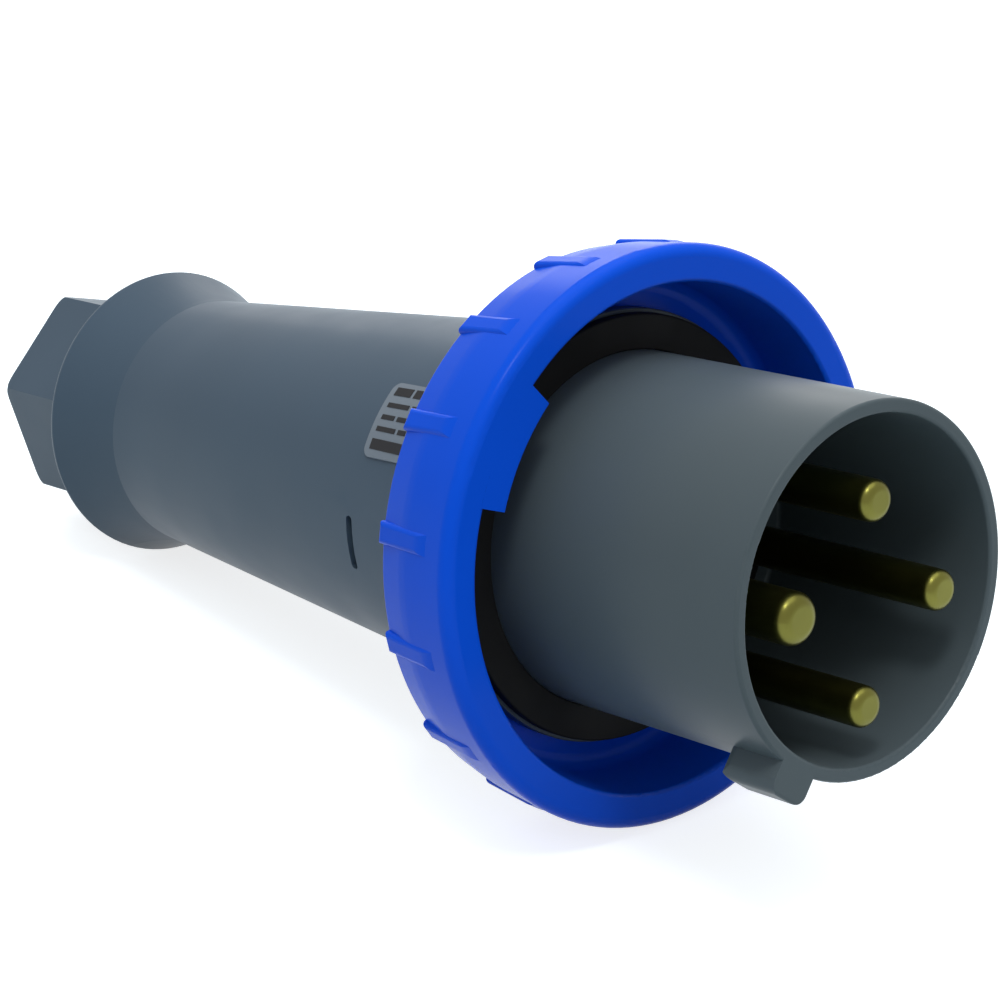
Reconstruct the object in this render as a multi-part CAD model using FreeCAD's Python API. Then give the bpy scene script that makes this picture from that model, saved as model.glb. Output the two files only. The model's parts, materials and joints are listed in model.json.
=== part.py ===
import FreeCAD, Part
import math
import os

from FreeCAD import Vector

os.makedirs("parts", exist_ok=True)

# Pin and sleeve plug, lying on its side. Lengths are in mm and angles in degrees.
# Everything is drawn on the plug's own axis first: X runs forward along the plug, with x = 0 on the
# front face of the locking ring, and angles run from +Y towards +Z. The last section lays it down.

# Roundings of moulded and turned edges
fine_edge = 0.3
soft_edge = 0.5
blunt_edge = 0.8

# Shroud, key and flange
shroud_radius = 35.5
shroud_wall = 2.75
rim_x = 51.5
rim_round = 0.7
key_angle = -9.4
key_width = 9.6
key_height = 5.5
key_length = 13.6
key_round = 2.6
key_sink = 1.75
gasket_clearance = 0.1
gasket_width = 7.05
gasket_thickness = 2.4
flange_overhang = 0.75
flange_front_x = -15.0
flange_thickness = 3.4

# Locking ring
ring_rear_x = -21.6
ring_end_play = 0.4
ring_seat_clearance = 0.3
collar_room = 6.9
ring_mouth_taper = 0.9
ring_rear_wall = 5.5
ring_belly_wall = 7.1
ring_lip_wall = 8.4
ring_belly_x = -14.0
ring_belly_round = 20.0
ring_lip_round = 2.4
ring_floor_round = 3.0
rib_count = 16
rib_angle = -6.5
rib_width = 4.4
rib_edge_round = 1.0
rib_rear_height = 1.2
rib_front_height = 1.0
rib_front_x = -8.0
rib_front_round = 12.0
rib_end_x = -4.0
lug_count = 2
lug_angle = -97.0
lug_span = 28.0
lug_clearance = 1.4
lug_thin = 4.2
lug_thick = 6.6
lug_root = 1.5
lug_steps = 4
ring_travel = 50.0
stop_angle = 100.0
stop_span = 7.0
stop_height = 1.6
stop_root = 1.0
stop_clearance = 0.3

# Handle
handle_gap = 0.6
handle_front_wall = 4.3
handle_wall = 3.2
lip_step = 2.9
lip_length = 3.5
ring_trap = 2.2
cone_rear_radius = 28.15
cone_rear_x = -149.5
flare_x = -159.1
flare_height = 1.7
flare_round = 90.0
collar_height = 5.25
collar_rear_x = -168.6
collar_round = 1.6
rear_wall_round = 2.0

# Spigot that joins the two housings
spigot_wall = 2.8
spigot_step = 1.3
spigot_step_x = -40.0
spigot_end_x = -62.0
spigot_end_gap = 2.0
joint_clearance = 0.3
seal_section_radius = 1.0
seal_setback = 5.4
seal_groove_clearance = 0.15
seal_groove_depth = 0.1

# Release latch behind the slot in the handle
latch_angle = -59.0
latch_x = -55.4
latch_lift_gap = 0.05
slot_length = 11.3
slot_width = 2.0
slot_end_round = 0.9
slot_clearance = 0.3
latch_body_width = 4.4
latch_body_height = 3.8
latch_nose_depth = 1.7
latch_nose_root = 1.0
latch_spring_room = 3.95
latch_wall = 1.8
spring_radius = 1.5
spring_wire = 0.45
spring_turns = 3.0

# Contacts, on a circle whose centre is shifted off the plug's axis
pin_circle_radius = 19.25
contact_shift = 2.8
contact_shift_angle = 36.0
earth_angle = -69.0
pin_recess = 0.0
pin_tip_share = 0.5
line_pin_radius = 4.0
earth_pin_radius = 5.0
shank_extra = 0.5
barrel_extra = 2.0
barrel_wall = 2.2
barrel_length = 22.0
barrel_bore_depth = 15.0
barrel_mouth = 1.0
drill_point_share = 0.58
pin_collar_extra = 2.4
pin_collar_length = 4.0
line_screw_radius = 2.5
earth_screw_radius = 3.0
screw_hole_clearance = 0.1
screw_bite = 0.6
screw_proud = 1.0
socket_across_share = 0.55
socket_depth_share = 0.8

# Contact carrier
carrier_margin = 0.75
carrier_clearance = 0.4
carrier_front_x = -1.0
carrier_shoulder_x = -6.0
carrier_rear_x = -24.0
carrier_shoulder = 2.0
stop_lip_clearance = 0.3
stop_lip_length = 3.0
back_plate_thickness = 4.0
bead_length = 1.6
bead_height = 0.7
bead_gap = 0.3
pin_hole_clearance = 0.1
collar_hole_clearance = 0.2
carrier_screw_radius = 1.7
carrier_screw_clearance = 0.15
carrier_screw_circle = 21.0
carrier_screw_length = 14.0
carrier_screw_head_radius = 3.2
carrier_screw_head_height = 2.2
driver_slot_width = 0.8
driver_slot_depth = 1.0

# Cable gland
cable_radius = 12.5
seal_wall = 7.8
seal_length = 9.0
seal_mouth = 2.0
clamp_extra = 2.5
cable_way_extra = 4.0
nut_bore_extra = 1.5
nut_mouth_extra = 5.5
nut_mouth_depth = 4.0
gland_clearance = 0.3
gland_step = 0.15
socket_floor_x = -147.0
socket_web = 4.0
clamp_length = 4.4
clamp_slits = 8
clamp_slit_width = 1.0
clamp_slit_web = 1.4
washer_thickness = 1.0
nut_front_x = -171.0
nut_rear_x = -198.0
nut_shoulder = 1.85
nut_angle = -77.0
nut_edge_round = 1.6

# Label plate
label_angle = -101.0
label_height = 16.4
label_rear_x = -53.2
label_front_x = -31.0
label_thickness = 0.4
label_round = 2.0
label_gap = 0.05

# Radii from the contacts outwards
line_collar_radius = line_pin_radius + pin_collar_extra
carrier_radius = pin_circle_radius + contact_shift + line_collar_radius + carrier_margin
carrier_boss_radius = carrier_radius - carrier_shoulder
stop_lip_radius = carrier_boss_radius + stop_lip_clearance
spigot_bore_radius = carrier_radius + carrier_clearance
spigot_tail_radius = spigot_bore_radius + spigot_wall
spigot_radius = spigot_tail_radius + spigot_step
joint_bore_radius = spigot_radius + joint_clearance
tail_bore_radius = spigot_tail_radius + joint_clearance
cone_front_radius = joint_bore_radius + handle_front_wall
lip_radius = cone_front_radius + lip_step
ring_seat_radius = lip_radius - ring_trap

# Radii from the shroud outwards
shroud_bore_radius = shroud_radius - shroud_wall
key_radius = shroud_radius + key_height
gasket_bore_radius = shroud_radius + gasket_clearance
gasket_radius = gasket_bore_radius + gasket_width
flange_radius = gasket_radius + flange_overhang
lug_radius = flange_radius + lug_clearance
ring_mouth_radius = flange_radius + collar_room
ring_floor_radius = ring_mouth_radius - ring_mouth_taper
ring_rear_radius = ring_floor_radius + ring_rear_wall
ring_belly_radius = ring_floor_radius + ring_belly_wall
ring_lip_radius = ring_floor_radius + ring_lip_wall

# Radii from the cable outwards
gland_radius = cable_radius + seal_wall
socket_radius = gland_radius + gland_clearance
clamp_bore_radius = cable_radius + clamp_extra
cable_way_radius = cable_radius + cable_way_extra
nut_bore_radius = cable_radius + nut_bore_extra
nut_mouth_radius = cable_radius + nut_mouth_extra
nut_corner_radius = (socket_radius + nut_shoulder) / math.cos(math.radians(30.0))
flare_radius = cone_rear_radius + flare_height
collar_radius = cone_rear_radius + collar_height

# Places along the plug
flange_rear_x = flange_front_x - flange_thickness
gasket_front_x = flange_front_x + gasket_thickness
ring_floor_x = flange_rear_x - ring_end_play
handle_front_x = ring_rear_x - handle_gap
cone_front_x = handle_front_x - lip_length
seal_x = handle_front_x - seal_setback
back_plate_rear_x = carrier_rear_x - back_plate_thickness
pin_tip_x = rim_x - pin_recess
barrel_end_x = back_plate_rear_x - barrel_length
terminal_x = barrel_end_x + barrel_bore_depth / 2
latch_top_radius = spigot_tail_radius - latch_lift_gap
latch_floor_radius = latch_top_radius - latch_body_height - latch_spring_room
line_angles = [earth_angle + 90.0 * step for step in (1, 2, 3)]
carrier_screw_angles = [earth_angle + 45.0 + 90.0 * step for step in range(4)]
cone_slope = (cone_front_radius - cone_rear_radius) / (cone_front_x - cone_rear_x)


def cone_radius(x):
    return cone_rear_radius + cone_slope * (x - cone_rear_x)


def rounded_wire(corners, across, along):
    """Closed outline through (a, b, rounding) corners, laid out on the two given directions."""
    points = [across * corner[0] + along * corner[1] for corner in corners]
    count = len(corners)
    starts, ends, edges = [], [], []
    for i, corner in enumerate(corners):
        here, radius = points[i], corner[2]
        if radius <= 0:
            starts.append(here)
            ends.append(here)
            continue
        to_last = (points[i - 1] - here).normalize()
        to_next = (points[(i + 1) % count] - here).normalize()
        half = to_last.getAngle(to_next) / 2
        inward = (to_last + to_next).normalize()
        starts.append(here + to_last * (radius / math.tan(half)))
        ends.append(here + to_next * (radius / math.tan(half)))
        middle = here + inward * (radius / math.sin(half) - radius)
        edges.append(Part.Arc(starts[i], middle, ends[i]).toShape())
    for i in range(count):
        after = starts[(i + 1) % count]
        if ends[i].distanceToPoint(after) > 1e-6:
            edges.append(Part.makeLine(ends[i], after))
    return Part.Wire(Part.sortEdges(edges)[0])


def turned(corners, span=360.0):
    """Solid of revolution about the plug axis from (x, radius, rounding) corners."""
    face = Part.Face(rounded_wire(corners, Vector(1, 0, 0), Vector(0, 1, 0)))
    return face.revolve(Vector(0, 0, 0), Vector(1, 0, 0), span)


def rod(radius, x_start, x_end):
    return Part.makeCylinder(radius, x_end - x_start, Vector(x_start, 0, 0), Vector(1, 0, 0))


def block(x_start, x_end, r_start, r_end, width):
    """Box on the +Y side, standing off the axis from r_start to r_end."""
    return Part.makeBox(x_end - x_start, r_end - r_start, width, Vector(x_start, r_start, -width / 2))


def turn_to(shape, angle):
    turned_shape = shape.copy()
    turned_shape.rotate(Vector(0, 0, 0), Vector(1, 0, 0), angle)
    return turned_shape


def around(shape, count, first=0.0):
    return [turn_to(shape, first + 360.0 * n / count) for n in range(count)]


def on_circle(shape, angle, radius=pin_circle_radius):
    """Copy of a shape drawn on the plug axis, moved to its angle on the contacts' shifted circle."""
    moved = shape.copy()
    moved.translate(Vector(0, radius, 0))
    moved = turn_to(moved, angle)
    shift = math.radians(contact_shift_angle)
    moved.translate(Vector(0, contact_shift * math.cos(shift), contact_shift * math.sin(shift)))
    return moved


# Front housing
def key():
    half = key_width / 2
    root = shroud_radius - key_sink
    start = rim_x - key_length
    section = rounded_wire(
        [(root, -half, 0), (key_radius, -half, key_round), (key_radius, half, key_round), (root, half, 0)],
        Vector(0, 1, 0), Vector(0, 0, 1))
    bar = Part.Face(section).extrude(Vector(key_length, 0, 0))
    bar.translate(Vector(start, 0, 0))
    side = rounded_wire(
        [(start, root, 0), (start, key_radius, key_round), (rim_x, key_radius, rim_round), (rim_x, root, 0)],
        Vector(1, 0, 0), Vector(0, 1, 0))
    plate = Part.Face(side).extrude(Vector(0, 0, key_width))
    plate.translate(Vector(0, 0, -half))
    plan = rounded_wire(
        [(start, -half, key_round), (rim_x, -half, 0), (rim_x, half, 0), (start, half, key_round)],
        Vector(1, 0, 0), Vector(0, 0, 1))
    post = Part.Face(plan).extrude(Vector(0, key_radius, 0))
    return turn_to(bar.common(plate).common(post), key_angle)


def latch_boss():
    half = latch_body_width / 2 + slot_clearance + latch_wall
    width = slot_length + 2 * (slot_clearance + latch_wall)
    boss = block(latch_x - half, latch_x + half, latch_floor_radius - latch_wall,
                 spigot_bore_radius + spigot_wall / 2, width)
    return turn_to(boss, latch_angle)


def latch_well():
    half = latch_body_width / 2 + slot_clearance
    well = block(latch_x - half, latch_x + half, latch_floor_radius, spigot_radius,
                 slot_length + 2 * slot_clearance)
    return turn_to(well, latch_angle)


def turn_stop():
    """Nib on the ring seat that ends the locking ring's travel both ways."""
    foot = ring_seat_radius - stop_root
    top = ring_seat_radius + stop_height
    nib = turned([
        (handle_front_x, foot, 0), (handle_front_x, top, 0),
        (flange_rear_x, top, 0), (flange_rear_x, foot, 0)], stop_span)
    return turn_to(nib, stop_angle)


def front_housing():
    groove = seal_section_radius + seal_groove_clearance
    groove_floor = joint_bore_radius - 2 * seal_section_radius - seal_groove_depth
    bead_x = back_plate_rear_x - bead_gap
    lip_front_x = carrier_shoulder_x + stop_lip_length
    body = turned([
        (rim_x, shroud_bore_radius, rim_round), (rim_x, shroud_radius, rim_round),
        (flange_front_x, shroud_radius, 0), (flange_front_x, flange_radius, fine_edge),
        (flange_rear_x, flange_radius, fine_edge), (flange_rear_x, ring_seat_radius, 0),
        (handle_front_x, ring_seat_radius, 0), (handle_front_x, spigot_radius, 0),
        (seal_x + groove, spigot_radius, 0), (seal_x + groove, groove_floor, 0),
        (seal_x - groove, groove_floor, 0), (seal_x - groove, spigot_radius, 0),
        (spigot_step_x, spigot_radius, fine_edge), (spigot_step_x, spigot_tail_radius, 0),
        (spigot_end_x, spigot_tail_radius, blunt_edge), (spigot_end_x, spigot_bore_radius, fine_edge),
        (bead_x - bead_length, spigot_bore_radius, 0),
        (bead_x - bead_length / 2, spigot_bore_radius - bead_height, 0),
        (bead_x, spigot_bore_radius, 0), (carrier_shoulder_x, spigot_bore_radius, 0),
        (carrier_shoulder_x, stop_lip_radius, 0), (lip_front_x, stop_lip_radius, fine_edge),
        (lip_front_x, shroud_bore_radius, blunt_edge)])
    return body.fuse([key(), latch_boss(), turn_stop()]).cut(latch_well()).removeSplitter()


def flange_gasket():
    return turned([
        (flange_front_x, gasket_bore_radius, 0), (flange_front_x, gasket_radius, fine_edge),
        (gasket_front_x, gasket_radius, soft_edge), (gasket_front_x, gasket_bore_radius, fine_edge)])


def housing_seal():
    """Ring in the spigot's groove, standing just clear of the handle's bore."""
    middle = joint_bore_radius - seal_section_radius - seal_groove_depth / 2
    return Part.makeTorus(middle, seal_section_radius, Vector(seal_x, 0, 0), Vector(1, 0, 0))


# Locking ring
def grip_rib():
    """Low bar with rounded long edges that dips into the ring before the lip."""
    half = rib_width / 2
    foot = ring_floor_radius
    crest_rear = ring_rear_radius + rib_rear_height
    crest_front = ring_belly_radius + rib_front_height
    rise = (crest_front - crest_rear) / (rib_front_x - ring_rear_x)
    section = rounded_wire([
        (foot, -half, 0), (crest_rear, -half, rib_edge_round),
        (crest_rear, half, rib_edge_round), (foot, half, 0)], Vector(0, 1, 0), Vector(0, 0, 1))
    bar = Part.Face(section).extrude(Vector(1, rise, 0) * -ring_rear_x)
    bar.translate(Vector(ring_rear_x, 0, 0))
    side = rounded_wire([
        (ring_rear_x, foot, 0), (ring_rear_x, crest_rear, blunt_edge),
        (rib_front_x, crest_front, rib_front_round),
        (rib_end_x, ring_belly_radius, 0), (rib_end_x, foot, 0)], Vector(1, 0, 0), Vector(0, 1, 0))
    plate = Part.Face(side).extrude(Vector(0, 0, rib_width))
    plate.translate(Vector(0, 0, -half))
    return bar.common(plate)


def bayonet_lug():
    """Inward lug whose rear face is a helical ramp, lofted through sections along its span."""
    foot = lug_radius - lug_root
    top = ring_mouth_radius + lug_root
    sections = []
    for step in range(lug_steps + 1):
        share = step / lug_steps
        depth = lug_thick - (lug_thick - lug_thin) * share
        section = Part.makePolygon([
            Vector(-depth, foot, 0), Vector(0, foot, 0), Vector(0, top, 0), Vector(-depth, top, 0),
            Vector(-depth, foot, 0)])
        sections.append(turn_to(section, (share - 0.5) * lug_span))
    ramp = Part.makeLoft(sections, True, False)
    band = turned([
        (-lug_thick, lug_radius, 0), (0, lug_radius, soft_edge),
        (0, ring_mouth_radius + lug_root / 2, 0), (-lug_thick, ring_mouth_radius + lug_root / 2, 0)])
    return ramp.common(band)


def travel_notch():
    """Arc cut from the ring's rear flange, in which the nib of the front housing runs."""
    spare = math.degrees(stop_clearance / ring_seat_radius)
    outer = ring_seat_radius + stop_height + stop_clearance
    notch = turned([
        (handle_front_x, ring_seat_radius, 0), (handle_front_x, outer, 0),
        (flange_rear_x, outer, 0), (flange_rear_x, ring_seat_radius, 0)],
        ring_travel + stop_span + 2 * spare)
    return turn_to(notch, stop_angle - ring_travel - spare)


def locking_ring():
    bore = ring_seat_radius + ring_seat_clearance
    shell = turned([
        (ring_rear_x, bore, fine_edge), (ring_rear_x, ring_rear_radius, blunt_edge),
        (ring_belly_x, ring_belly_radius, ring_belly_round), (0, ring_lip_radius, ring_lip_round),
        (0, ring_mouth_radius, blunt_edge), (ring_floor_x, ring_floor_radius, ring_floor_round),
        (ring_floor_x, bore, fine_edge)])
    lugs = around(bayonet_lug(), lug_count, lug_angle)
    return shell.fuse(around(grip_rib(), rib_count, rib_angle) + lugs).cut(travel_notch()).removeSplitter()


# Handle
def handle():
    tail_end_x = spigot_end_x - spigot_end_gap
    joint_end_x = spigot_step_x - spigot_end_gap / 2
    rear_wall_x = socket_floor_x + socket_web
    body = turned([
        (handle_front_x, joint_bore_radius, 0), (handle_front_x, lip_radius, soft_edge),
        (cone_front_x, lip_radius, soft_edge), (cone_front_x, cone_front_radius, blunt_edge),
        (cone_rear_x, cone_rear_radius, blunt_edge), (flare_x, flare_radius, flare_round),
        (collar_rear_x, collar_radius, collar_round), (collar_rear_x, socket_radius, soft_edge),
        (socket_floor_x, socket_radius, 0), (socket_floor_x, cable_way_radius, soft_edge),
        (rear_wall_x, cable_way_radius, soft_edge),
        (rear_wall_x, cone_radius(rear_wall_x) - handle_wall, rear_wall_round),
        (tail_end_x, cone_radius(tail_end_x) - handle_wall, 0), (tail_end_x, tail_bore_radius, 0),
        (joint_end_x, tail_bore_radius, 0), (joint_end_x, joint_bore_radius, 0)])
    return body.cut(release_slot())


def release_slot():
    half_width = slot_width / 2
    half_length = slot_length / 2
    outline = rounded_wire(
        [(-half_width, -half_length, slot_end_round), (half_width, -half_length, slot_end_round),
         (half_width, half_length, slot_end_round), (-half_width, half_length, slot_end_round)],
        Vector(1, 0, 0), Vector(0, 0, 1))
    cutter = Part.Face(outline).extrude(Vector(0, cone_front_radius, 0))
    cutter.translate(Vector(latch_x, spigot_bore_radius, 0))
    return turn_to(cutter, latch_angle)


def release_latch():
    """Bar under the slot with a nose in it; its back is curved to the bore of the handle."""
    half = latch_body_width / 2
    body_floor = latch_top_radius - latch_body_height
    body = block(latch_x - half, latch_x + half, body_floor, latch_top_radius, slot_length)
    body = body.common(rod(latch_top_radius, latch_x - half, latch_x + half))
    nose_half = slot_width / 2 - slot_clearance
    nose = block(latch_x - nose_half, latch_x + nose_half, latch_top_radius - latch_nose_root,
                 cone_radius(latch_x) - latch_nose_depth, slot_length - 4 * slot_clearance)
    return turn_to(body.fuse(nose).removeSplitter(), latch_angle)


def latch_spring():
    height = latch_spring_room - 2 * spring_wire
    helix = Part.makeHelix(height / spring_turns, height, spring_radius)
    section = Part.Wire(Part.makeCircle(spring_wire / 2, Vector(spring_radius, 0, 0), Vector(0, 1, 0)))
    coil = Part.Wire(helix).makePipeShell([section], True, True)
    coil.rotate(Vector(0, 0, 0), Vector(1, 0, 0), -90)
    coil.translate(Vector(latch_x, latch_floor_radius + spring_wire, 0))
    return turn_to(coil, latch_angle)


def label_plate():
    half = label_height / 2
    outline = rounded_wire(
        [(label_rear_x, -half, label_round), (label_front_x, -half, label_round),
         (label_front_x, half, label_round), (label_rear_x, half, label_round)],
        Vector(1, 0, 0), Vector(0, 0, 1))
    plug = Part.Face(outline).extrude(Vector(0, cone_front_radius + label_height, 0))
    inner = label_gap
    outer = label_gap + label_thickness
    skin = turned([
        (label_rear_x - label_round, cone_radius(label_rear_x - label_round) + inner, 0),
        (label_front_x + label_round, cone_radius(label_front_x + label_round) + inner, 0),
        (label_front_x + label_round, cone_radius(label_front_x + label_round) + outer, 0),
        (label_rear_x - label_round, cone_radius(label_rear_x - label_round) + outer, 0)])
    return turn_to(plug.common(skin), label_angle)


# Contacts
def contact_pin(radius, screw_radius, angle):
    barrel = radius + barrel_extra
    bore = barrel - barrel_wall
    collar = radius + pin_collar_extra
    shank = radius + shank_extra
    seat_x = carrier_rear_x + pin_collar_length
    bore_end_x = barrel_end_x + barrel_bore_depth
    body = turned([
        (barrel_end_x, 0, 0), (barrel_end_x, barrel, soft_edge), (carrier_rear_x, barrel, 0),
        (carrier_rear_x, collar, fine_edge), (seat_x, collar, fine_edge),
        (seat_x, shank, 0), (carrier_front_x, shank, 0), (carrier_front_x, radius, 0),
        (pin_tip_x, radius, radius * pin_tip_share), (pin_tip_x, 0, 0)])
    cable_hole = turned([
        (barrel_end_x, 0, 0), (barrel_end_x, bore + barrel_mouth, 0), (barrel_end_x + barrel_mouth, bore, 0),
        (bore_end_x, bore, 0), (bore_end_x + bore * drill_point_share, 0, 0)])
    screw_hole = Part.makeCylinder(
        screw_radius + screw_hole_clearance, 2 * barrel, Vector(terminal_x, 0, 0), Vector(0, 1, 0))
    return on_circle(body.cut(cable_hole).cut(screw_hole), angle)


def terminal_screw(radius, screw_radius, angle):
    """Socket set screw standing a little proud of its barrel."""
    barrel = radius + barrel_extra
    foot = barrel - barrel_wall - screw_bite
    head = barrel + screw_proud
    body = Part.makeCylinder(screw_radius, head - foot, Vector(terminal_x, foot, 0), Vector(0, 1, 0))
    across = screw_radius * socket_across_share
    floor = head - screw_radius * socket_depth_share
    corners = [Vector(terminal_x + across * math.cos(math.radians(60 * n)), floor,
                      across * math.sin(math.radians(60 * n))) for n in range(7)]
    socket = Part.Face(Part.makePolygon(corners)).extrude(Vector(0, screw_radius, 0))
    return on_circle(body.cut(socket), angle)


def line_terminal_screws():
    return Part.makeCompound([
        terminal_screw(line_pin_radius, line_screw_radius, angle) for angle in line_angles])


# Contact carrier
def holes_for_pins(extra, x_start, x_end):
    holes = [on_circle(rod(line_pin_radius + extra, x_start, x_end), angle) for angle in line_angles]
    holes.append(on_circle(rod(earth_pin_radius + extra, x_start, x_end), earth_angle))
    return holes


def holes_for_screws(clearance, x_start, x_end):
    hole = rod(carrier_screw_radius + clearance, x_start, x_end)
    return [on_circle(hole, angle, carrier_screw_circle) for angle in carrier_screw_angles]


def contact_carrier():
    body = turned([
        (carrier_rear_x, 0, 0), (carrier_rear_x, carrier_radius, fine_edge),
        (carrier_shoulder_x, carrier_radius, fine_edge), (carrier_shoulder_x, carrier_boss_radius, 0),
        (carrier_front_x, carrier_boss_radius, soft_edge), (carrier_front_x, 0, 0)])
    seat_x = carrier_rear_x + pin_collar_length
    screw_reach = back_plate_rear_x + carrier_screw_length + carrier_screw_radius
    return body.cut(
        holes_for_pins(shank_extra + pin_hole_clearance, carrier_rear_x, carrier_front_x)
        + holes_for_pins(pin_collar_extra + collar_hole_clearance, carrier_rear_x, seat_x)
        + holes_for_screws(pin_hole_clearance, carrier_rear_x, screw_reach))


def carrier_back_plate():
    plate = turned([
        (back_plate_rear_x, 0, 0), (back_plate_rear_x, carrier_radius, fine_edge),
        (carrier_rear_x, carrier_radius, fine_edge), (carrier_rear_x, 0, 0)])
    return plate.cut(
        holes_for_pins(barrel_extra + collar_hole_clearance, back_plate_rear_x, carrier_rear_x)
        + holes_for_screws(carrier_screw_clearance, back_plate_rear_x, carrier_rear_x))


def carrier_screw():
    shank_end = back_plate_rear_x + carrier_screw_length
    head_x = back_plate_rear_x - carrier_screw_head_height
    body = turned([
        (head_x, 0, 0), (head_x, carrier_screw_head_radius, blunt_edge),
        (back_plate_rear_x, carrier_screw_head_radius, 0), (back_plate_rear_x, carrier_screw_radius, 0),
        (shank_end, carrier_screw_radius, soft_edge), (shank_end, 0, 0)])
    across = 2 * carrier_screw_head_radius
    slot = Part.makeBox(driver_slot_depth, across, driver_slot_width,
                        Vector(head_x, -across / 2, -driver_slot_width / 2))
    return body.cut(slot)


def carrier_screws():
    return Part.makeCompound([
        on_circle(carrier_screw(), angle, carrier_screw_circle) for angle in carrier_screw_angles])


# Cable gland, from the socket floor backwards
seal_front_x = socket_floor_x - gland_step
seal_rear_x = seal_front_x - seal_length
clamp_front_x = seal_rear_x - gland_step
clamp_rear_x = clamp_front_x - clamp_length
washer_front_x = clamp_rear_x - gland_step
washer_rear_x = washer_front_x - washer_thickness
neck_front_x = washer_rear_x - gland_step


def cable_seal():
    mouth = cable_radius + seal_mouth
    return turned([
        (seal_rear_x, mouth, 0), (seal_rear_x, gland_radius, blunt_edge),
        (seal_front_x, gland_radius, blunt_edge), (seal_front_x, mouth, 0),
        (seal_front_x - seal_mouth, cable_radius, soft_edge),
        (seal_rear_x + seal_mouth, cable_radius, soft_edge)])


def clamp_ring():
    ring = turned([
        (clamp_rear_x, clamp_bore_radius, fine_edge), (clamp_rear_x, gland_radius, soft_edge),
        (clamp_front_x, gland_radius, fine_edge), (clamp_front_x, clamp_bore_radius, soft_edge)])
    slit = block(clamp_rear_x + clamp_slit_web, clamp_front_x, cable_radius, socket_radius, clamp_slit_width)
    return ring.cut(around(slit, clamp_slits))


def gland_washer():
    return turned([
        (washer_rear_x, clamp_bore_radius, 0), (washer_rear_x, gland_radius, 0),
        (washer_front_x, gland_radius, 0), (washer_front_x, clamp_bore_radius, 0)])


def gland_nut():
    corners = [Vector(nut_rear_x, nut_corner_radius * math.cos(math.radians(60 * n)),
                      nut_corner_radius * math.sin(math.radians(60 * n))) for n in range(7)]
    prism = Part.Face(Part.makePolygon(corners)).extrude(Vector(nut_front_x - nut_rear_x, 0, 0))
    envelope = turned([
        (nut_rear_x, 0, 0), (nut_rear_x, nut_corner_radius, nut_edge_round),
        (nut_front_x, nut_corner_radius, blunt_edge), (nut_front_x, 0, 0)])
    neck = rod(gland_radius, nut_front_x, neck_front_x)
    way = turned([
        (nut_rear_x, 0, 0), (nut_rear_x, nut_mouth_radius, 0),
        (nut_rear_x + nut_mouth_depth, nut_bore_radius, 0),
        (neck_front_x, nut_bore_radius, 0), (neck_front_x, 0, 0)])
    return turn_to(prism.common(envelope).fuse(neck).cut(way).removeSplitter(), nut_angle)


# Lying pose: the ring's belly, between two ribs, and the collar's rear edge touch the floor at z = 0.
down_angle = rib_angle + 1.5 * 360.0 / rib_count
rear_lean = math.atan2(ring_belly_radius - ring_rear_radius, ring_belly_x - ring_rear_x)
front_lean = math.atan2(ring_lip_radius - ring_belly_radius, -ring_belly_x)
belly_lean = (rear_lean + front_lean) / 2
belly_reach = ring_belly_round / math.cos((rear_lean - front_lean) / 2)
belly_foot_x = ring_belly_x + belly_reach * math.sin(belly_lean)
belly_foot_r = ring_belly_radius - belly_reach * math.cos(belly_lean)
flare_lean = math.atan2(collar_radius - flare_radius, flare_x - collar_rear_x)
collar_foot_x = collar_rear_x + collar_round
collar_foot_r = collar_radius - collar_round * (math.tan(flare_lean) + 1 / math.cos(flare_lean))
foot_run = belly_foot_x - collar_foot_x
foot_rise = belly_foot_r - collar_foot_r
tilt = math.degrees(math.atan2(foot_rise, foot_run)
                    + math.asin((ring_belly_round - collar_round) / math.hypot(foot_run, foot_rise)))
axis_height = (ring_belly_round + belly_foot_r * math.cos(math.radians(tilt))
               - belly_foot_x * math.sin(math.radians(tilt)))
front_reach = rim_x * math.cos(math.radians(tilt)) + shroud_radius * math.sin(math.radians(tilt))
rear_reach = nut_rear_x * math.cos(math.radians(tilt)) - nut_corner_radius * math.sin(math.radians(tilt))


def lay_down(shape):
    laid = shape.copy()
    laid.rotate(Vector(0, 0, 0), Vector(1, 0, 0), -90.0 - down_angle)
    laid.rotate(Vector(0, 0, 0), Vector(0, 1, 0), -tilt)
    laid.translate(Vector(-(front_reach + rear_reach) / 2, 0, axis_height))
    return laid


nodes = {
    "front_housing": front_housing(),
    "handle": handle(),
    "locking_ring": locking_ring(),
    "flange_gasket": flange_gasket(),
    "housing_seal": housing_seal(),
    "contact_carrier": contact_carrier(),
    "carrier_back_plate": carrier_back_plate(),
    "carrier_screws": carrier_screws(),
    "earth_pin": contact_pin(earth_pin_radius, earth_screw_radius, earth_angle),
    "line_pin_a": contact_pin(line_pin_radius, line_screw_radius, line_angles[0]),
    "line_pin_b": contact_pin(line_pin_radius, line_screw_radius, line_angles[1]),
    "line_pin_c": contact_pin(line_pin_radius, line_screw_radius, line_angles[2]),
    "line_terminal_screws": line_terminal_screws(),
    "earth_terminal_screw": terminal_screw(earth_pin_radius, earth_screw_radius, earth_angle),
    "release_latch": release_latch(),
    "latch_spring": latch_spring(),
    "label_plate": label_plate(),
    "gland_nut": gland_nut(),
    "gland_washer": gland_washer(),
    "clamp_ring": clamp_ring(),
    "cable_seal": cable_seal(),
}

for name, shape in nodes.items():
    lay_down(shape).exportStep("parts/" + name + ".step")
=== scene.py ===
"""Industrial pin and sleeve plug lying on a pale floor, dressed and lit around its CAD frame."""

import json
import math

import bmesh
import bpy
from mathutils import Matrix, Vector


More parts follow.
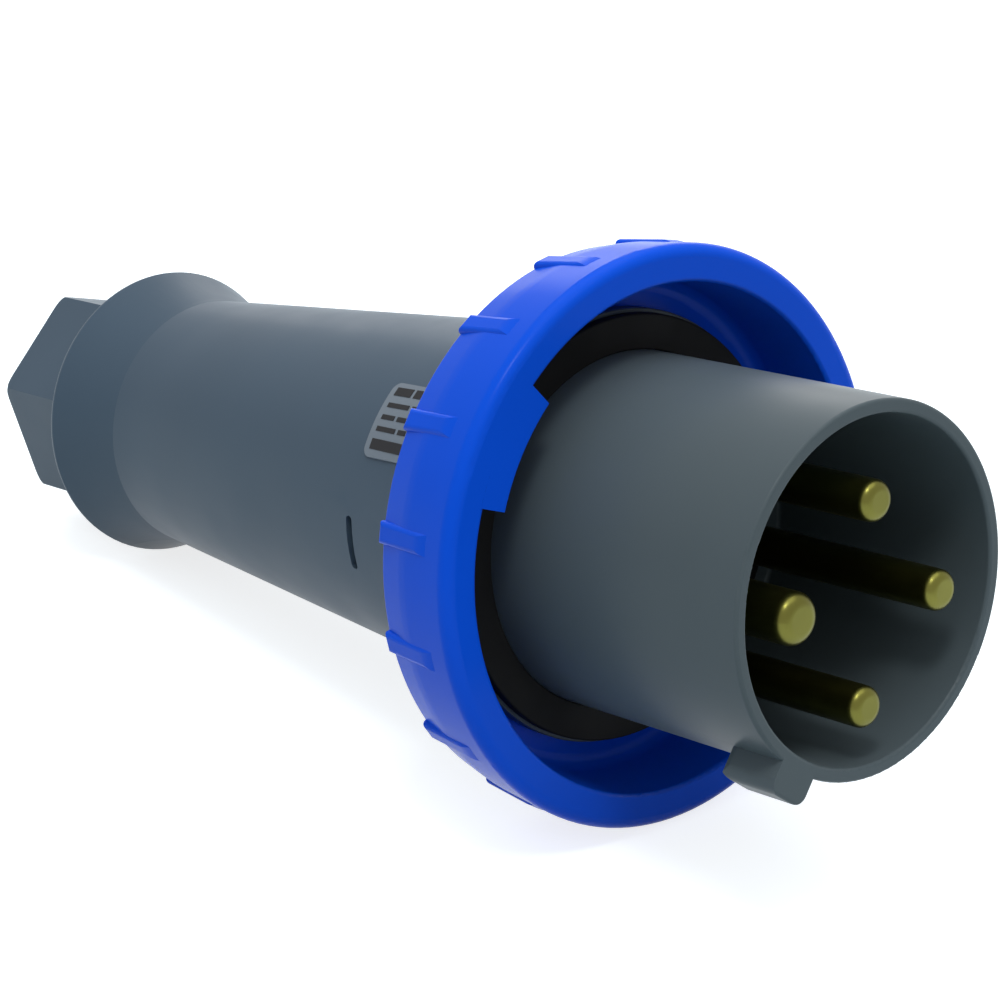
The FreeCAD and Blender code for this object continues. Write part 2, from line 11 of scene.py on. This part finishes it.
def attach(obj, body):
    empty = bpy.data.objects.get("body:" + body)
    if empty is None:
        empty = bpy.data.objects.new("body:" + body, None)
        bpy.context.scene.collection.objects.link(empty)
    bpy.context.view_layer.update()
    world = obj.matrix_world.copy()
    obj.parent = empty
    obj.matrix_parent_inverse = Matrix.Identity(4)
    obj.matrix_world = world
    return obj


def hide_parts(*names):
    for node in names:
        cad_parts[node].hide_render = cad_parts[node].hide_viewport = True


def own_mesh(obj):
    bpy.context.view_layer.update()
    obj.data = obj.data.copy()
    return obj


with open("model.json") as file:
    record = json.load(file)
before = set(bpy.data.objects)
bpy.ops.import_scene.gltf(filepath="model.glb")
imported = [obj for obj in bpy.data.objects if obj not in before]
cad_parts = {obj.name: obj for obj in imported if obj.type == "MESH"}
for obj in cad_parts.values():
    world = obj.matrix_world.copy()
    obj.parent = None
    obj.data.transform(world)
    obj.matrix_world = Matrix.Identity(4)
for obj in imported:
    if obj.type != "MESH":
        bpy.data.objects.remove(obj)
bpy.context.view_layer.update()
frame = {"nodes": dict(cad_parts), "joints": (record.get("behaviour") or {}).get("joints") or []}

MM = 0.001

# The camera that took the photograph, worked out from the plug's own circles
CAMERA_PLACE = Vector((0.44280, -0.38689, 0.28712))
CAMERA_VIEW = Vector((-0.67991, 0.62475, -0.38393))
CAMERA_ROLL = math.radians(2.856)
CAMERA_LENS = 108.44
CAMERA_SENSOR = 36.0

# Colours, linear
GREY = (0.057, 0.087, 0.120)
FRONT_GREY = (0.073, 0.094, 0.103)
BLUE = (0.003, 0.077, 0.645)
BLACK = (0.008, 0.008, 0.009)
RUBBER = (0.010, 0.010, 0.010)
BRASS = (0.15, 0.144, 0.033)
STEEL = (0.55, 0.55, 0.56)
SILVER = (0.155, 0.185, 0.215)
INK = (0.015, 0.015, 0.017)

# Surfaces: the noises' scales and details, the shares by which they vary the colour,
# and the grain's depth in metres
NOISE_MIDDLE = (0.25, 0.75)
NOISE_ROUGHNESS = 0.5
COARSE_DETAIL = 1.0
FINE_DETAIL = 2.0
MOTTLE_SCALE = 25.0
MOTTLE_SHARES = (0.97, 1.03)
GLOSS_SCALE = 60.0
GRAIN_SCALE = 2200.0
GRAIN_DEPTH = 0.00003
TARNISH_SCALE = 80.0
TARNISH_SHARES = (0.9, 1.08)
POLISH_SCALE = 900.0
BRASS_POLISH_SCALE = 250.0

# Sockets of a colour mix node
MIX_FIRST = 6
MIX_SECOND = 7
MIX_RESULT = 2

# Moulded finishes: name, colour, lowest and highest roughness, grain, specular level, nodes
MOULDED = (
    ("grey_nylon", GREY, 0.34, 0.40, 0.12, 0.11, ("handle", "gland_nut")),
    ("front_grey_nylon", FRONT_GREY, 0.32, 0.38, 0.12, 0.11, ("front_housing", "release_latch")),
    ("blue_nylon", BLUE, 0.22, 0.25, 0.12, 0.05, ("locking_ring",)),
    ("black_insulator", BLACK, 0.5, 0.6, 0.2, 0.1,
     ("contact_carrier", "carrier_back_plate", "clamp_ring")),
    ("black_rubber", RUBBER, 0.62, 0.78, 0.4, 0.1,
     ("flange_gasket", "housing_seal", "cable_seal")),
    ("label_foil", SILVER, 0.40, 0.48, 0.05, 0.2, ("label_plate",)),
)

# Metals: name, colour, lowest and highest roughness, scale of the polish, nodes
METALS = (
    ("contact_brass", BRASS, 0.31, 0.35, BRASS_POLISH_SCALE,
     ("earth_pin", "line_pin_a", "line_pin_b", "line_pin_c")),
    ("plated_steel", STEEL, 0.3, 0.42, POLISH_SCALE,
     ("carrier_screws", "line_terminal_screws", "earth_terminal_screw", "latch_spring",
      "gland_washer")),
)

# Label on the handle's cone: its middle in degrees, and in millimetres its rear end, the radius
# of its face there and the radius gained per millimetre forward
LABEL_ANGLE = -101.0
LABEL_REAR = -53.2
LABEL_TOP = 36.495
LABEL_SLOPE = 0.0820

# Bars printed on the label: offset and height (degrees) and widths (mm) of each row, then
# the bars' height above the label, thickness, margin and spacing (mm), steps and finish
INK_ROWS = (
    (-9.6, 3.0, (5.4, 9.0)),
    (-4.6, 1.6, (7.0, 3.4, 3.0)),
    (-0.4, 1.6, (4.2, 6.4, 2.6)),
    (3.6, 1.6, (6.2, 2.6, 4.8)),
    (8.6, 3.4, (11.0, 4.2)),
)
INK_LIFT = 0.03
INK_DEPTH = 0.06
INK_MARGIN = 1.7
INK_GAP = 0.9
INK_STEPS = 6
INK_ROUGHNESS = (0.5, 0.6)
INK_GRAIN = 0.05
INK_SPECULAR = 0.2

# Thread on the gland nut's neck: millimetres, steps a turn, steps of each end's fade,
# and half widths of root and crest as shares of the pitch
NECK_RADIUS = 20.3
THREAD_PITCH = 1.5
THREAD_HEIGHT = 0.22
THREAD_SINK = 0.05
THREAD_REAR = -170.2
THREAD_FRONT = -162.8
THREAD_STEPS = 90
THREAD_FADE = 24
HALF_ROOT_SHARE = 0.4
HALF_CREST_SHARE = 0.08

# Floor: side in metres, cool pale colour, and the glow that shows but lights nothing diffuse
FLOOR_SIDE = 8.0
FLOOR_COLOUR = (0.57, 0.65, 0.68, 1.0)
FLOOR_ROUGHNESS = 0.9
FLOOR_GLOW = 0.78

# Studio: sines of elevation between which the dark horizon turns into the bright ceiling
CEILING_START = 0.35
CEILING_FULL = 0.75
HORIZON_LEVEL = 0.30
CEILING_LEVEL = 1.0
SKY_TINT = (0.92, 0.95, 1.0, 1.0)

# Softboxes: name, place, target, width, height (metres) and power (watts)
SOFTBOXES = (
    ("overhead", (0.05, 0.15, 1.0), (0.0, 0.0, 0.05), 1.1, 0.8, 4.1),
    ("top_left", (-0.80, 0.78, 0.42), (-0.08, 0.0, 0.09), 0.8, 0.35, 1.3),
    ("key", (0.36, -0.36, 0.98), (0.02, 0.0, 0.08), 0.2, 0.2, 2.6),
)


def joint(name):
    return next(j for j in frame["joints"] if j["name"] == name)


# The plug's own axis frame, read from two joints of the model
AXIS = Vector(joint("locking_ring_turn")["axis"]).normalized()
ORIGIN = Vector(joint("locking_ring_turn")["pos_m"])
LATCH_ANGLE = -59.0
LATCH_OUT = -Vector(joint("release_latch_press")["axis"]).normalized()


def outward(angle):
    """Unit vector away from the plug's axis at an angle of the CAD drawing, in degrees."""
    return Matrix.Rotation(math.radians(angle - LATCH_ANGLE), 3, AXIS) @ LATCH_OUT


def at(x, radius, angle):
    """Point of the plug in the row frame from its own x, radius (mm) and angle (degrees)."""
    return ORIGIN + AXIS * (x * MM) + outward(angle) * (radius * MM)


# Materials
def new_material(name):
    material = bpy.data.materials.new(name)
    material.use_nodes = True
    nodes = material.node_tree.nodes
    return material, nodes, material.node_tree.links, nodes["Principled BSDF"]


def noise(nodes, links, scale, detail):
    coords = nodes.new("ShaderNodeTexCoord")
    texture = nodes.new("ShaderNodeTexNoise")
    texture.inputs["Scale"].default_value = scale
    texture.inputs["Detail"].default_value = detail
    texture.inputs["Roughness"].default_value = NOISE_ROUGHNESS
    links.new(coords.outputs["Object"], texture.inputs["Vector"])
    return texture.outputs["Fac"]


def ramp(nodes, start, full, low, high):
    """Smooth step from one value to another; its input is Value and its output Result."""
    node = nodes.new("ShaderNodeMapRange")
    node.interpolation_type = "SMOOTHSTEP"
    node.inputs["From Min"].default_value = start
    node.inputs["From Max"].default_value = full
    node.inputs["To Min"].default_value = low
    node.inputs["To Max"].default_value = high
    return node


def spread(nodes, links, value, low, high):
    """Maps the middle of a noise to a range of values."""
    reach = ramp(nodes, *NOISE_MIDDLE, low, high)
    links.new(value, reach.inputs["Value"])
    return reach.outputs["Result"]


def shaded(colour, share):
    return tuple(min(1.0, c * share) for c in colour) + (1.0,)


def vary_colour(nodes, links, shader, colour, pattern, shares):
    mix = nodes.new("ShaderNodeMix")
    mix.data_type = "RGBA"
    mix.inputs[MIX_FIRST].default_value = shaded(colour, shares[0])
    mix.inputs[MIX_SECOND].default_value = shaded(colour, shares[1])
    links.new(spread(nodes, links, pattern, 0.0, 1.0), mix.inputs["Factor"])
    links.new(mix.outputs[MIX_RESULT], shader.inputs["Base Color"])


def vary_roughness(nodes, links, shader, pattern, low, high):
    links.new(spread(nodes, links, pattern, low, high), shader.inputs["Roughness"])


def bump(nodes, links, shader, value, strength, distance):
    node = nodes.new("ShaderNodeBump")
    node.inputs["Strength"].default_value = strength
    node.inputs["Distance"].default_value = distance
    links.new(value, node.inputs["Height"])
    links.new(node.outputs["Normal"], shader.inputs["Normal"])


def moulded(name, colour, rough_low, rough_high, grain, specular):
    """Moulded nylon: faint mottling, uneven gloss and a very fine grain."""
    material, nodes, links, shader = new_material(name)
    shader.inputs["Specular IOR Level"].default_value = specular
    mottle = noise(nodes, links, MOTTLE_SCALE, COARSE_DETAIL)
    vary_colour(nodes, links, shader, colour, mottle, MOTTLE_SHARES)
    gloss = noise(nodes, links, GLOSS_SCALE, FINE_DETAIL)
    vary_roughness(nodes, links, shader, gloss, rough_low, rough_high)
    bump(nodes, links, shader, noise(nodes, links, GRAIN_SCALE, FINE_DETAIL), grain, GRAIN_DEPTH)
    return material


def metal(name, colour, rough_low, rough_high, polish_scale):
    """Machined or plated metal with uneven polish."""
    material, nodes, links, shader = new_material(name)
    shader.inputs["Metallic"].default_value = 1.0
    tarnish = noise(nodes, links, TARNISH_SCALE, COARSE_DETAIL)
    vary_colour(nodes, links, shader, colour, tarnish, TARNISH_SHARES)
    polish = noise(nodes, links, polish_scale, FINE_DETAIL)
    vary_roughness(nodes, links, shader, polish, rough_low, rough_high)
    return material


def paint(node_names, material):
    for name in node_names:
        mesh = frame["nodes"][name].data
        mesh.materials.clear()
        mesh.materials.append(material)


def dress_nodes():
    for *finish, node_names in MOULDED:
        paint(node_names, moulded(*finish))
    for *finish, node_names in METALS:
        paint(node_names, metal(*finish))


# Fine pieces that the CAD leaves out, and a copy of the latch spring
def sweep(mesh, sections):
    """Closed skin through sections that all have the same number of corners."""
    rows = [[mesh.verts.new(corner) for corner in section] for section in sections]
    for first, second in zip(rows, rows[1:]):
        for n in range(len(first)):
            mesh.faces.new((first[n], first[n - 1], second[n - 1], second[n]))
    mesh.faces.new(rows[0])
    mesh.faces.new(rows[-1])


def new_piece(name, data, body):
    piece = bpy.data.objects.new(name, data)
    bpy.context.scene.collection.objects.link(piece)
    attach(piece, body)
    return piece


def mesh_piece(name, mesh, material, body):
    bmesh.ops.recalc_face_normals(mesh, faces=mesh.faces)
    data = bpy.data.meshes.new(name)
    mesh.to_mesh(data)
    mesh.free()
    data.materials.append(material)
    return new_piece(name, data, body)


def ink_bar(mesh, x_start, x_end, angle_start, angle_end):
    """Thin curved plate just clear of the label's face."""
    bottom, top = INK_LIFT, INK_LIFT + INK_DEPTH
    corners = ((x_start, bottom), (x_end, bottom), (x_end, top), (x_start, top))
    sections = []
    for n in range(INK_STEPS + 1):
        angle = angle_start + (angle_end - angle_start) * n / INK_STEPS
        sections.append([at(x, LABEL_TOP + (x - LABEL_REAR) * LABEL_SLOPE + level, angle)
                         for x, level in corners])
    sweep(mesh, sections)


def label_print():
    """Rows of bars, laid out forward from the label's rear end."""
    mesh = bmesh.new()
    for offset, height, widths in INK_ROWS:
        angle = LABEL_ANGLE + offset
        x = LABEL_REAR + INK_MARGIN
        for width in widths:
            ink_bar(mesh, x, x + width, angle - height / 2, angle + height / 2)
            x += width + INK_GAP
    ink = moulded("label_ink", INK, *INK_ROUGHNESS, INK_GRAIN, INK_SPECULAR)
    mesh_piece("label_print", mesh, ink, "housing")


def gland_thread():
    """Right-hand thread on the gland nut's neck, fading out at both ends."""
    mesh = bmesh.new()
    steps = round((THREAD_FRONT - THREAD_REAR) / THREAD_PITCH * THREAD_STEPS)
    half_root, half_crest = THREAD_PITCH * HALF_ROOT_SHARE, THREAD_PITCH * HALF_CREST_SHARE
    profile = ((-half_root, 0.0), (-half_crest, 1.0), (half_crest, 1.0), (half_root, 0.0))
    root = NECK_RADIUS - THREAD_SINK
    sections = []
    for n in range(steps + 1):
        x = THREAD_REAR + THREAD_PITCH * n / THREAD_STEPS
        fade = min(1.0, (n + 1) / THREAD_FADE, (steps - n + 1) / THREAD_FADE)
        rise = THREAD_HEIGHT * fade + THREAD_SINK
        sections.append([at(x + along, root + rise * up, 360.0 * n / THREAD_STEPS)
                         for along, up in profile])
    sweep(mesh, sections)
    nut_material = frame["nodes"]["gland_nut"].data.materials[0]
    mesh_piece("gland_thread", mesh, nut_material, "nut")


def working_spring():
    """The latch spring again, as its own copy of the mesh on the housing, with the CAD spring
    hidden.
    """
    node = frame["nodes"]["latch_spring"]
    coil = new_piece("latch_spring_coil", node.data.copy(), "housing")
    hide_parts("latch_spring")
    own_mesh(coil)


# Floor, world and lights
def shown_rays(nodes, links):
    """1 for the rays that show the background: the camera's and those off gloss or through glass."""
    path = nodes.new("ShaderNodeLightPath")
    value = path.outputs["Is Camera Ray"]
    for name in ("Is Glossy Ray", "Is Transmission Ray"):
        either = nodes.new("ShaderNodeMath")
        either.operation = "MAXIMUM"
        links.new(value, either.inputs[0])
        links.new(path.outputs[name], either.inputs[1])
        value = either.outputs[0]
    return value


def pale_floor():
    bpy.ops.mesh.primitive_plane_add(size=FLOOR_SIDE, location=(0.0, 0.0, 0.0))
    floor = bpy.context.object
    floor.name = "floor"
    material, nodes, links, shader = new_material("pale_floor")
    shader.inputs["Base Color"].default_value = FLOOR_COLOUR
    shader.inputs["Roughness"].default_value = FLOOR_ROUGHNESS
    shader.inputs["Specular IOR Level"].default_value = 0.0
    glow = nodes.new("ShaderNodeEmission")
    level = nodes.new("ShaderNodeMapRange")
    level.inputs["To Min"].default_value = 0.0
    level.inputs["To Max"].default_value = FLOOR_GLOW
    links.new(shown_rays(nodes, links), level.inputs["Value"])
    links.new(level.outputs["Result"], glow.inputs["Strength"])
    add = nodes.new("ShaderNodeAddShader")
    links.new(shader.outputs[0], add.inputs[0])
    links.new(glow.outputs[0], add.inputs[1])
    links.new(add.outputs[0], nodes["Material Output"].inputs["Surface"])
    floor.data.materials.append(material)


def studio_world():
    """White where it is seen; as light on the object, a bright ceiling over a darker horizon."""
    world = bpy.data.worlds.new("studio")
    bpy.context.scene.world = world
    world.use_nodes = True
    nodes, links = world.node_tree.nodes, world.node_tree.links
    soft = nodes["Background"]
    coords = nodes.new("ShaderNodeTexCoord")
    split = nodes.new("ShaderNodeSeparateXYZ")
    rise = ramp(nodes, CEILING_START, CEILING_FULL, HORIZON_LEVEL, CEILING_LEVEL)
    links.new(coords.outputs["Generated"], split.inputs[0])
    links.new(split.outputs["Z"], rise.inputs["Value"])
    links.new(rise.outputs["Result"], soft.inputs["Strength"])
    soft.inputs["Color"].default_value = SKY_TINT
    white = nodes.new("ShaderNodeBackground")
    white.inputs["Color"].default_value = (1.0, 1.0, 1.0, 1.0)
    mix = nodes.new("ShaderNodeMixShader")
    links.new(shown_rays(nodes, links), mix.inputs["Fac"])
    links.new(soft.outputs[0], mix.inputs[1])
    links.new(white.outputs[0], mix.inputs[2])
    links.new(mix.outputs[0], nodes["World Output"].inputs["Surface"])


def softbox(name, place, target, width, height, power):
    light = bpy.data.lights.new(name, "AREA")
    light.shape = "RECTANGLE"
    light.size = width
    light.size_y = height
    light.energy = power
    lamp = bpy.data.objects.new(name, light)
    bpy.context.scene.collection.objects.link(lamp)
    lamp.location = place
    lamp.rotation_euler = (Vector(target) - Vector(place)).to_track_quat("-Z", "Y").to_euler()


def lights():
    for box in SOFTBOXES:
        softbox(*box)


def camera():
    data = bpy.data.cameras.new("photo_camera")
    data.lens = CAMERA_LENS
    data.sensor_width = CAMERA_SENSOR
    view = bpy.data.objects.new("photo_camera", data)
    bpy.context.scene.collection.objects.link(view)
    view.location = CAMERA_PLACE
    aim = CAMERA_VIEW.to_track_quat("-Z", "Y").to_matrix()
    view.rotation_euler = (aim @ Matrix.Rotation(CAMERA_ROLL, 3, "Z")).to_euler()
    bpy.context.scene.camera = view


dress_nodes()
label_print()
gland_thread()
working_spring()
pale_floor()
studio_world()
lights()
camera()
bpy.context.scene.view_settings.view_transform = "Standard"
